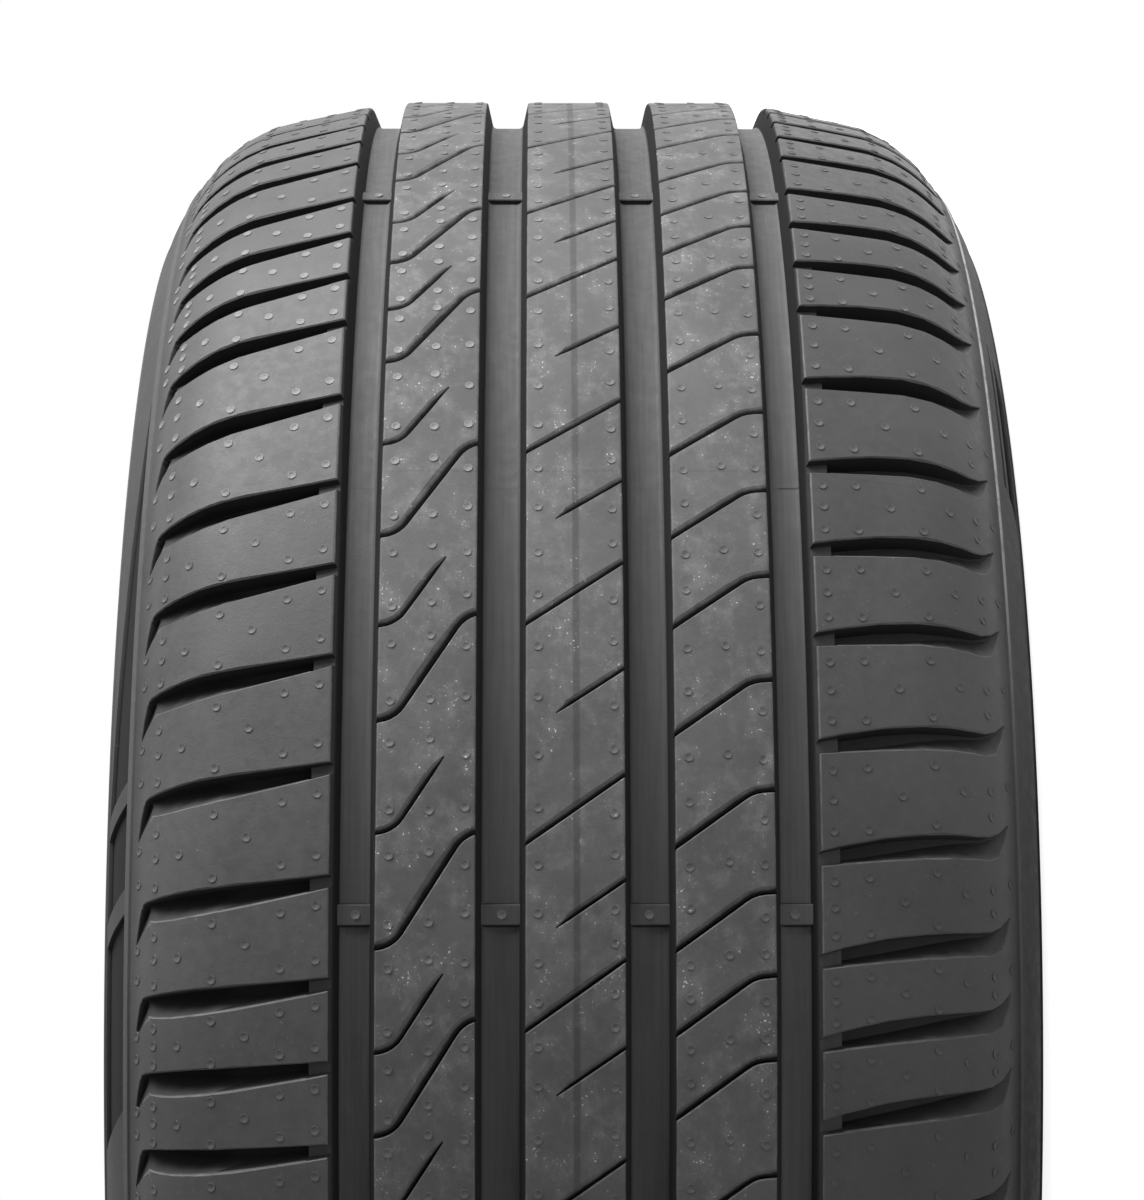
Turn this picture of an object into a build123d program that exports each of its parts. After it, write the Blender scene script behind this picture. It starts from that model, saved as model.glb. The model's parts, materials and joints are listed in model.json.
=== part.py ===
from build123d import *
from math import cos, degrees, radians, sin, tan
import os

# A low-profile radial car tyre, moulded in one piece. Its axis is Z, its middle plane is z = 0, and it lies
# on its lower sidewall. Sizes are in millimetres and degrees. Across means along the axis, outwards from the
# middle plane, and along means round the tread.

# Overall sizes
tread_radius = 328.35
section_half_width = 143.5

# Bead, which seats on an 18 inch rim that is 10 inches wide
bead_seat_radius = 231.0
bead_seat_length = 16.0
bead_inset = 16.5
bead_height = 12.0
heel_chamfer = 6.0
toe_lip = 2.0
toe_height = 4.0
flange_slope = 48.0

# Sidewall, shoulder and crown. The flat of the sidewall has its place and width as shares of the height
# from the bead seat to the shoulder's edge.
side_flat_place = 0.51
side_flat_share = 0.31
flank_slope = 57.0
shoulder_edge_inset = 17.0
shoulder_edge_slope = 28.0
shoulder_bend_inset = 36.5
shoulder_slope = 11.6
shoulder_drop = 1.7

# Wall thicknesses
crown_thickness = 18.6
shoulder_thickness = 20.0
side_thickness = 11.0

# Main grooves that run round the tread
inner_groove_across = 22.0
inner_groove_width = 14.9
outer_groove_across = 65.5
outer_groove_width = 13.8
groove_depth = 9.4
groove_wall_slope = 16.0

# Pitches of the tread pattern: three lengths in a mixed order, so that the tread doesn't hum on one note
pitch_weights = {"S": 1.0, "M": 1.24, "L": 1.39}
pitch_order = "SSMLLMMLLSSSMSSS" * 3 + "MLLMMLLM" * 2 + "MLLMML"
first_pitch_angle = -96.7

# Shoulder slots: each sweeps away from its groove, and the upper ones end in a tail along the shoulder's edge
slot_depth = 6.6
slot_width = 5.6
slot_edge_depth = 4.0
upper_slot_along = 20.3
upper_slot_sweep = -6.7
upper_tail_sweep = -10.0
upper_tail_across = 4.0
lower_slot_along = 26.6
lower_slot_sweep = 7.6

# Sipes, the narrow cuts in the three middle ribs: every second one is short in the upper and the middle rib
sipe_depth = 6.5
sipe_width = 2.2
steep_sipe_width = 2.9
upper_sipe_flat = 5.0
upper_sipe_rise = 35.0
upper_sipe_short_across = 39.1
upper_sipe_short_rise = 22.6
middle_sipe_along = 31.0
middle_sipe_rise = 20.5
middle_sipe_short_across = 4.8
lower_sipe_along = 30.0
lower_sipe_rise = 18.0

overrun = 8.0

bead_half_width = section_half_width - bead_inset
shoulder_edge_across = section_half_width - shoulder_edge_inset
shoulder_bend_across = section_half_width - shoulder_bend_inset
shoulder_rib_across = outer_groove_across + outer_groove_width / 2
shoulder_rib_radius = tread_radius - shoulder_drop
rib_outer_edge = outer_groove_across - outer_groove_width / 2
rib_inner_edge = inner_groove_across + inner_groove_width / 2
middle_rib_edge = inner_groove_across - inner_groove_width / 2


def fall(run, slope):
    """How far a line at this slope comes down over a run across the tread."""
    return run * tan(radians(slope))


shoulder_bend_radius = shoulder_rib_radius - fall(shoulder_bend_across - shoulder_rib_across, shoulder_slope)
shoulder_edge_radius = shoulder_bend_radius - fall(
    shoulder_edge_across - shoulder_bend_across, shoulder_edge_slope
)
side_height = shoulder_edge_radius - bead_seat_radius
side_flat_radius = bead_seat_radius + side_flat_place * side_height
side_flat_top = side_flat_radius + side_flat_share * side_height / 2
side_flat_foot = side_flat_radius - side_flat_share * side_height / 2
bead_toe_across = bead_half_width - heel_chamfer - bead_seat_length
bead_top_radius = bead_seat_radius + bead_height
liner_half_width = section_half_width - side_thickness


def at(radius, across, angle):
    """The point at this radius and place across, turned round the axis by this angle."""
    return Vector(radius * cos(radians(angle)), radius * sin(radians(angle)), across)


def along_angle(length):
    """The angle that a length along the tread takes up."""
    return degrees(length / tread_radius)


def groove_section(across, width, inner_radius, outer_radius):
    """The four corners of a main groove's section, from its inner edge to its outer edge."""
    floor_half = width / 2 - fall(groove_depth, groove_wall_slope)
    floor_radius = inner_radius - groove_depth
    return [
        (inner_radius, across - width / 2),
        (floor_radius, across - floor_half),
        (floor_radius, across + floor_half),
        (outer_radius, across + width / 2),
    ]


def tyre_section():
    """The section above the beads, as (radius, across) corners, round the tread and back along the liner."""
    foot_across = section_half_width - (side_flat_foot - bead_seat_radius - heel_chamfer) / tan(
        radians(flange_slope)
    )
    upper_half = [
        *groove_section(inner_groove_across, inner_groove_width, tread_radius, tread_radius),
        *groove_section(outer_groove_across, outer_groove_width, tread_radius, shoulder_rib_radius),
        (shoulder_bend_radius, shoulder_bend_across),
        (shoulder_edge_radius, shoulder_edge_across),
        (side_flat_top, section_half_width),
        (side_flat_foot, section_half_width),
        (bead_seat_radius + heel_chamfer, foot_across),
        (bead_seat_radius + heel_chamfer, bead_toe_across + heel_chamfer),
        (bead_seat_radius + toe_height - toe_lip / 2, bead_toe_across - toe_lip),
        (side_flat_radius, liner_half_width),
        (tread_radius - crown_thickness, shoulder_edge_across - shoulder_thickness),
    ]
    lower_half = [(radius, -across) for radius, across in reversed(upper_half)]
    return upper_half + lower_half


def pitch_starts():
    """The angle at which each pitch starts."""
    weights = [pitch_weights[letter] for letter in pitch_order]
    turn = 360 / sum(weights)
    return [first_pitch_angle + turn * sum(weights[:index]) for index in range(len(weights))]


def ring_of_pitches(section, starts):
    """The section carried round the axis in straight steps, one for each pitch, as one closed solid."""
    faces = []
    for start, stop in zip(starts, starts[1:] + starts[:1]):
        for here, there in zip(section, section[1:] + section[:1]):
            corners = [at(*here, start), at(*here, stop), at(*there, stop), at(*there, start)]
            faces.append(Face(Wire.make_polygon(corners)))
    return Solid(Shell(faces))


def bead(side):
    """One bead: a round seat for the rim, with a chamfered heel outside and a square toe inside."""
    corners = [
        (bead_seat_radius, bead_toe_across),
        (bead_seat_radius, bead_half_width - heel_chamfer),
        (bead_seat_radius + heel_chamfer, bead_half_width),
        (bead_top_radius, bead_half_width),
        (bead_seat_radius + toe_height, bead_toe_across),
    ]
    outline = Polyline(*[at(radius, side * across, 0) for radius, across in corners], close=True)
    return revolve(make_face(outline), Axis.Z)


def v_cutter(keel, width, depth):
    """A V-shaped cutter at angle 0, over its keel. The width is along the tread, at its surface."""
    rise = Vector(depth + overrun, 0, 0)
    spread = Vector(0, width / 2 * (depth + overrun) / depth, 0)
    back = [point + rise - spread for point in keel]
    front = [point + rise + spread for point in keel]
    faces = [Face(Wire.make_polygon([line[end] for line in (keel, back, front)])) for end in (0, -1)]
    for edge, other in ((keel, back), (back, front), (front, keel)):
        for step in range(len(keel) - 1):
            faces.append(Face(Wire.make_polygon([edge[step], edge[step + 1], other[step + 1], other[step]])))
    return Solid(Shell(faces))


def slot_cutter(side, sweep, tail):
    """A shoulder slot, from inside its groove to the shoulder's edge, with an optional tail past the edge."""
    floor_radius = shoulder_rib_radius - slot_depth
    edge_radius = shoulder_edge_radius - slot_edge_depth
    inner = Vector(floor_radius, 0, side * (shoulder_rib_across - outer_groove_width / 4))
    outer = Vector(edge_radius, sweep, side * shoulder_edge_across)
    keel = [inner, outer]
    for along, step in tail:
        keel.append(outer + Vector(slot_edge_depth - fall(step, flank_slope), along, side * step))
    return v_cutter(keel, slot_width, slot_depth)


def sipe_cutter(points, width):
    """A sipe through these (along, across) points, all at one depth below the tread."""
    keel = [Vector(tread_radius - sipe_depth, along, across) for along, across in points]
    return v_cutter(keel, width, sipe_depth)


def tread_cutters():
    """Every slot and sipe of the tread: one set for each pitch, short ones in every second pitch."""
    reach = inner_groove_width / 4
    upper_slot = slot_cutter(1, upper_slot_sweep, [(upper_tail_sweep, upper_tail_across)])
    lower_slot = slot_cutter(-1, lower_slot_sweep, [])
    upper_start = (0, rib_outer_edge + reach)
    upper_bend = (0, rib_outer_edge - upper_sipe_flat)
    upper_sipes = [
        sipe_cutter([upper_start, (upper_sipe_short_rise, upper_sipe_short_across)], steep_sipe_width),
        sipe_cutter([upper_start, upper_bend, (upper_sipe_rise, rib_inner_edge - reach)], steep_sipe_width),
    ]
    slope = middle_sipe_rise / (2 * middle_rib_edge)
    middle_end = (slope * (middle_rib_edge + reach), -middle_rib_edge - reach)
    middle_sipes = [
        sipe_cutter([(-slope * middle_sipe_short_across, middle_sipe_short_across), middle_end], sipe_width),
        sipe_cutter([(-middle_end[0], -middle_end[1]), middle_end], sipe_width),
    ]
    lower_slope = lower_sipe_rise / (rib_outer_edge - rib_inner_edge)
    lower_sipe = sipe_cutter(
        [
            (-lower_slope * reach, reach - rib_inner_edge),
            (lower_sipe_rise + lower_slope * reach, -rib_outer_edge - reach),
        ],
        sipe_width,
    )
    cutters = []
    for index, start in enumerate(pitch_starts()):
        long = index % 2
        placed = [
            (upper_slot_along, upper_slot),
            (lower_slot_along, lower_slot),
            (0, upper_sipes[long]),
            (middle_sipe_along + middle_sipe_rise / 2, middle_sipes[long]),
            (lower_sipe_along, lower_sipe),
        ]
        cutters += [Rot(0, 0, start + along_angle(along)) * cutter for along, cutter in placed]
    return cutters


ring = ring_of_pitches(tyre_section(), pitch_starts())
tyre = ring - tread_cutters() + [bead(1), bead(-1)]

os.makedirs("parts", exist_ok=True)
export_step(tyre, "parts/tyre.step")
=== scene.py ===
import json
import logging
from dataclasses import dataclass, field
from enum import Enum
from functools import reduce
from math import acos, ceil, cos, pi, radians, sin, tan
from typing import Callable, Sequence, Union

import bmesh
import bpy
import numpy as np
from mathutils import Matrix, Vector


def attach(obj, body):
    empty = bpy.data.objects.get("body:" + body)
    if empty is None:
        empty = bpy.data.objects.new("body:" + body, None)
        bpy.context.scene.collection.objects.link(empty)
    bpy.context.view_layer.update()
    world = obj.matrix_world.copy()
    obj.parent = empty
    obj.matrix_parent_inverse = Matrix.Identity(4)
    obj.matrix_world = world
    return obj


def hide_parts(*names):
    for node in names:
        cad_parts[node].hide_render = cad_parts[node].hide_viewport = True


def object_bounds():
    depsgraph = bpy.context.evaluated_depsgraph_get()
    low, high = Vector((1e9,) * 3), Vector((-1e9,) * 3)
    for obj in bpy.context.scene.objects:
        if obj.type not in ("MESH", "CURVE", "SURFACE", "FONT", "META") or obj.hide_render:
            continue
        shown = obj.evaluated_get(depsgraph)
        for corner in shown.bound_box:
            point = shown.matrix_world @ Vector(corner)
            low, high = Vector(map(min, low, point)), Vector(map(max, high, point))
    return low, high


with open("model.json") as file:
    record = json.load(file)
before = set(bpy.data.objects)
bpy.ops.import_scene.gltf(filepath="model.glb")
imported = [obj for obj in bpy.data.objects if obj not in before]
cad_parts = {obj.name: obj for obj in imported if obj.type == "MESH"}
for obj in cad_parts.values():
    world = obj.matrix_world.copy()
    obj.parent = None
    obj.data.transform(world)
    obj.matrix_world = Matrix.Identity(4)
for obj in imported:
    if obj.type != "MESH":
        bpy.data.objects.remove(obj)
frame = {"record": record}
cad_low, cad_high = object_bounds()

log = logging.getLogger("tyre")

# Sizes are in millimetres and degrees where nothing else is said, and meshes are in metres.
MM = 0.001

# An arc leaves its curve by the chord error at most, and takes up the run share of the lines beside its
# corner at most. A corner that turns less than the least turn stays as it is.
CHORD_ERROR = 0.05
RUN_SHARE = 0.98
LEAST_TURN = 1.0

BODY = "root"
NODE = "tyre"

Point2 = tuple[float, float]
Point3 = tuple[float, float, float]
Colour = tuple[float, float, float, float]
NodeValue = Union[bpy.types.NodeSocket, float, Point3, Colour]
Placing = Callable[[bpy.types.NodeTree, bpy.types.Node], None]


class Side(Enum):
    """The two sides of the tyre: the upper one faces up when the tyre lies on the floor."""

    UPPER = 1
    LOWER = -1


class Pitch(Enum):
    """The three pitch lengths of the tread pattern, as shares of the short one."""

    SHORT = 1.0
    MEDIUM = 1.24
    LONG = 1.39


@dataclass(frozen=True)
class Corner:
    """A corner of an outline: two coordinates and the radius that rounds it."""

    first: float
    second: float
    rounding: float = 0.0


def round_corner(before: Corner, corner: Corner, after: Corner, step: float) -> list[Point2]:
    """Replaces one corner by an arc.

    Args:
        before: The corner that comes before it.
        corner: The corner to round.
        after: The corner that comes after it.
        step: The largest turn between two points of the arc, in degrees.

    Returns:
        The points of the arc, or the corner itself where it is sharp.
    """
    place = Vector((corner.first, corner.second))
    back = Vector((before.first, before.second)) - place
    ahead = Vector((after.first, after.second)) - place
    if corner.rounding <= 0 or back.length == 0 or ahead.length == 0:
        return [(corner.first, corner.second)]
    back_way, ahead_way = back.normalized(), ahead.normalized()
    between = acos(max(-1.0, min(1.0, back_way.dot(ahead_way))))
    turn = pi - between
    if turn < radians(LEAST_TURN):
        return [(corner.first, corner.second)]
    reach = min(corner.rounding / tan(between / 2), RUN_SHARE * back.length, RUN_SHARE * ahead.length)
    radius = reach * tan(between / 2)
    centre = place + (back_way + ahead_way).normalized() * (radius / sin(between / 2))
    first_arm = place + back_way * reach - centre
    last_arm = place + ahead_way * reach - centre
    sweep = first_arm.angle_signed(last_arm)
    finest = 2 * acos(max(0.0, 1 - CHORD_ERROR / radius))
    count = max(1, ceil(abs(sweep) / min(radians(step), finest)))
    points = []
    for index in range(count + 1):
        angle = -sweep * index / count
        arm = Matrix.Rotation(angle, 2) @ first_arm
        points.append((centre.x + arm.x, centre.y + arm.y))
    return points


def round_path(corners: Sequence[Corner], closed: bool, step: float) -> list[Point2]:
    """Rounds every corner of a path.

    Args:
        corners: The path's corners, in order.
        closed: Whether the path comes back to its start.
        step: The largest turn between two points of an arc, in degrees.

    Returns:
        The points of the rounded path.
    """
    points: list[Point2] = []
    last = len(corners) - 1
    for index, corner in enumerate(corners):
        if not closed and index in (0, last):
            points.append((corner.first, corner.second))
        else:
            points += round_corner(corners[index - 1], corner, corners[(index + 1) % len(corners)], step)
    return points


def mesh_object(name: str, points: Sequence[Point3], faces: Sequence[Sequence[int]]) -> bpy.types.Object:
    """Makes a mesh object at the origin, with its faces turned outwards.

    Args:
        name: The object's name.
        points: The corners, in metres.
        faces: The corner numbers of each face.

    Returns:
        The new object, linked to the scene.
    """
    mesh = bpy.data.meshes.new(name)
    mesh.from_pydata([tuple(point) for point in points], [], [tuple(face) for face in faces])
    shape = bmesh.new()
    shape.from_mesh(mesh)
    bmesh.ops.recalc_face_normals(shape, faces=shape.faces)
    shape.to_mesh(mesh)
    shape.free()
    mesh.update()
    thing = bpy.data.objects.new(name, mesh)
    bpy.context.scene.collection.objects.link(thing)
    return thing


def bridge_rings(rings: Sequence[Sequence[Point3]], capped: bool) -> tuple[list[Point3], list[list[int]]]:
    """Joins rings of equal length into one skin.

    Args:
        rings: The rings, each a closed list of points.
        capped: Whether the first and last ring are closed with a face; otherwise the last joins the first.

    Returns:
        The points and the faces.
    """
    size = len(rings[0])
    count = len(rings)
    points = [point for ring in rings for point in ring]
    faces = []
    for here in range(count - 1 if capped else count):
        there = (here + 1) % count
        for side in range(size):
            following = (side + 1) % size
            faces.append(
                [here * size + side, here * size + following, there * size + following, there * size + side]
            )
    if capped:
        faces.append(list(range(size)))
        faces.append([(count - 1) * size + side for side in range(size)])
    return points, faces


def drop(thing: bpy.types.Object) -> None:
    """Removes a helper object and its mesh.

    Args:
        thing: The helper object.
    """
    mesh = thing.data
    bpy.data.objects.remove(thing)
    bpy.data.meshes.remove(mesh)


def settle(thing: bpy.types.Object) -> None:
    """Turns an object with modifiers into a plain mesh, and removes the modifiers.

    Args:
        thing: The object.
    """
    graph = bpy.context.evaluated_depsgraph_get()
    made = bpy.data.meshes.new_from_object(thing.evaluated_get(graph))
    old = thing.data
    thing.modifiers.clear()
    thing.data = made
    bpy.data.meshes.remove(old)
    made.name = thing.name


def read_places(mesh: bpy.types.Mesh) -> np.ndarray:
    """Reads the points of a mesh.

    Args:
        mesh: The mesh.

    Returns:
        One row for each point, in metres.
    """
    places = np.empty(len(mesh.vertices) * 3, np.float32)
    mesh.vertices.foreach_get("co", places)
    return places.reshape(-1, 3).astype(float)


def write_values(mesh: bpy.types.Mesh, name: str, values: np.ndarray) -> None:
    """Writes a mesh attribute.

    Args:
        mesh: The mesh.
        name: The attribute's name.
        values: One number or one vector for each point.
    """
    kind, entry = ("FLOAT", "value") if values.ndim == 1 else ("FLOAT_VECTOR", "vector")
    layer = mesh.attributes.new(name, kind, "POINT")
    layer.data.foreach_set(entry, values.astype(np.float32).ravel())


def shade_smooth(mesh: bpy.types.Mesh, sharp_angle: float) -> None:
    """Shades a mesh smooth, apart from edges that turn by more than an angle in degrees."""
    mesh.polygons.foreach_set("use_smooth", np.ones(len(mesh.polygons), bool))
    mesh.set_sharp_from_angle(angle=radians(sharp_angle))


def finish_piece(thing: bpy.types.Object, replaces_node: bool) -> None:
    """Hands a finished piece over to the frame.

    Args:
        thing: The piece, at the origin.
        replaces_node: Whether it stands for the solid.
    """
    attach(thing, BODY)
    if replaces_node:
        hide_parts(NODE)
    triangles = sum(len(face.vertices) - 2 for face in thing.data.polygons)
    log.info("%s: %d triangles", thing.name, triangles)


@dataclass
class TyreSize:
    """The tyre's driving sizes. Its radii, its width and its grooves' places are those of the source."""

    tread_radius: float = 328.35
    half_width: float = field(default_factory=lambda: round(cad_high.z / MM, 2))
    seat_radius: float = field(default_factory=lambda: frame["record"]["mounts"][0]["dims"]["r_mm"])
    bead_inset: float = 16.5
    seat_length: float = 16.0
    inner_groove: float = 22.0
    inner_groove_width: float = 14.9
    outer_groove: float = 65.5
    outer_groove_width: float = 13.8
    groove_depth: float = 9.4
    groove_wall_slope: float = 12.5
    outer_wall_lean: float = 1.0
    groove_edge_rounding: float = 0.8
    groove_floor_rounding: float = 1.8
    shoulder_drop: float = 1.7
    shoulder_slope: float = 11.6
    shoulder_corner: float = 119.2
    shoulder_rounding: float = 48.0
    flank_slope: float = 54.9
    side_rounding: float = 40.0
    arc_step: float = 18.0
    segments: int = 210

    @property
    def shoulder_rib(self) -> Point2:
        """The inner edge of the shoulder rib, as place across and radius."""
        return self.outer_groove + self.outer_groove_width / 2, self.tread_radius - self.shoulder_drop

    @property
    def shoulder_corner_radius(self) -> float:
        """The radius at which the shoulder's slope meets the flank's."""
        across, radius = self.shoulder_rib
        return radius - (self.shoulder_corner - across) * tan(radians(self.shoulder_slope))

    @property
    def side_corner_radius(self) -> float:
        """The radius at which the flank meets the widest part of the sidewall."""
        run = self.half_width - self.shoulder_corner
        return self.shoulder_corner_radius - run * tan(radians(self.flank_slope))


@dataclass
class Skin:
    """The outer skin of the tyre without its grooves: it turns places on the tread into points in space.

    The relief's sizes say between which radii the panels and ribs of the sidewall lie, and which shares of
    their height count as theirs.
    """

    size: TyreSize
    arc_step: float = 2.0
    flat_share: float = 0.6
    tread_inset: float = 11.0
    deepest: float = 12.0
    relief_top: float = 298.0
    relief_foot: float = 279.6
    lower_rib_foot: float = 296.75
    relief_shares: Point2 = (0.4, 4.0)

    def __post_init__(self) -> None:
        """Works out the skin's section."""
        size = self.size
        rib_edge = size.outer_groove - size.outer_groove_width / 2
        corners = [
            Corner(0, size.tread_radius),
            Corner(rib_edge, size.tread_radius),
            Corner(*size.shoulder_rib),
            Corner(size.shoulder_corner, size.shoulder_corner_radius, size.shoulder_rounding),
            Corner(size.half_width, size.side_corner_radius, size.side_rounding),
            Corner(size.half_width, size.side_corner_radius - self.flat_share * size.side_rounding),
        ]
        line = np.array(round_path(corners, False, self.arc_step))
        lengths = np.hypot(*np.diff(line, axis=0).T)
        self.reach = np.concatenate([[0], np.cumsum(lengths)])
        self.line = line
        ways = np.gradient(line, self.reach, axis=0)
        ways /= np.hypot(*ways.T)[:, None]
        self.normals = np.stack([-ways[:, 1], ways[:, 0]], axis=1)

    def at_across(self, across: float) -> tuple[float, float, float, float]:
        """The skin at a place across.

        Args:
            across: The distance from the middle plane.

        Returns:
            The place across, the radius, and the normal's share across and outwards.
        """
        reach = float(np.interp(across, self.line[:, 0], self.reach))
        return self.at_reach(reach)

    def at_radius(self, radius: float) -> tuple[float, float, float, float]:
        """The skin at a radius of the shoulder or the sidewall, given as in at_across."""
        reach = float(np.interp(-radius, -self.line[:, 1], self.reach))
        return self.at_reach(reach)

    def at_reach(self, reach: float) -> tuple[float, float, float, float]:
        """The skin at a length along its section.

        Args:
            reach: The length from the middle plane.

        Returns:
            The same values as at_across.
        """
        columns = (self.line[:, 0], self.line[:, 1], self.normals[:, 0], self.normals[:, 1])
        across, radius, over, out = (float(np.interp(reach, self.reach, column)) for column in columns)
        return across, radius, over, out

    def lifted(self, radius: float, height: float) -> Corner:
        """A section corner that stands off the sidewall at a radius by a height."""
        across, place, over, out = self.at_radius(radius)
        return Corner(across + height * over, place + height * out)

    def space(self, along: float, across: float, height: float) -> Point3:
        """The point in space for a place on the tread.

        Args:
            along: The length round the tread from angle 0.
            across: The place across, above zero on the upper side.
            height: The height over the skin.

        Returns:
            The point, in metres.
        """
        place, radius, over, out = self.at_across(abs(across))
        side = 1 if across >= 0 else -1
        angle = along / self.size.tread_radius
        far = (radius + height * out) * MM
        return far * cos(angle), far * sin(angle), side * (place + height * over) * MM

    def facing(self, along: float, across: float) -> Point3:
        """The way that the skin faces at a place on the tread.

        Args:
            along: The length round the tread from angle 0.
            across: The place across, above zero on the upper side.

        Returns:
            The way, as a vector.
        """
        _, _, over, out = self.at_across(abs(across))
        side = 1 if across >= 0 else -1
        angle = along / self.size.tread_radius
        return out * cos(angle), out * sin(angle), side * over

    @staticmethod
    def polar(places: np.ndarray) -> tuple[np.ndarray, np.ndarray]:
        """The radius and the distance from the middle plane of points in metres, both in millimetres."""
        return np.hypot(places[:, 0], places[:, 1]) / MM, np.abs(places[:, 2]) / MM

    def depth_under(self, places: np.ndarray) -> np.ndarray:
        """How deep points lie under the skin, measured towards the axis.

        Args:
            places: The points, in metres.

        Returns:
            The depths, in millimetres; zero past the tread's edge.
        """
        radius, across = self.polar(places)
        depth = np.interp(across, self.line[:, 0], self.line[:, 1]) - radius
        inside = across < self.size.half_width - self.tread_inset
        return np.where(inside, np.clip(depth, 0, self.deepest), 0)

    def recessed(self, places: np.ndarray, recess: float) -> np.ndarray:
        """Which points of the sidewall lie at a depth under the skin.

        Args:
            places: The points, in metres.
            recess: The depth, below zero for what stands off the skin.

        Returns:
            Whether each point lies at that depth.
        """
        radius, across = self.polar(places)
        under = np.interp(-radius, -self.line[:, 1], self.line[:, 0]) - across
        share = under / recess
        foot = np.where((recess < 0) & (places[:, 2] < 0), self.lower_rib_foot, self.relief_foot)
        least, most = self.relief_shares
        return (radius > foot) & (radius < self.relief_top) & (share > least) & (share < most)


@dataclass
class PitchOrder:
    """The order of the pitches round the tread."""

    letters: str = "SSMLLMMLLSSSMSSS" * 3 + "MLLMMLLM" * 2 + "MLLMML"
    first_angle: float = -96.7
    kinds: dict[str, Pitch] = field(
        default_factory=lambda: {"S": Pitch.SHORT, "M": Pitch.MEDIUM, "L": Pitch.LONG}
    )

    def shares(self) -> list[float]:
        """Works out how long the pitches are.

        Returns:
            The share of the full turn that each pitch takes.
        """
        weights = [self.kinds[letter].value for letter in self.letters]
        whole = sum(weights)
        return [weight / whole for weight in weights]

    def starts(self) -> list[float]:
        """The angle at which each pitch starts, in radians."""
        shares = self.shares()
        return [radians(self.first_angle) + 2 * pi * sum(shares[:index]) for index in range(len(shares))]


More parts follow.
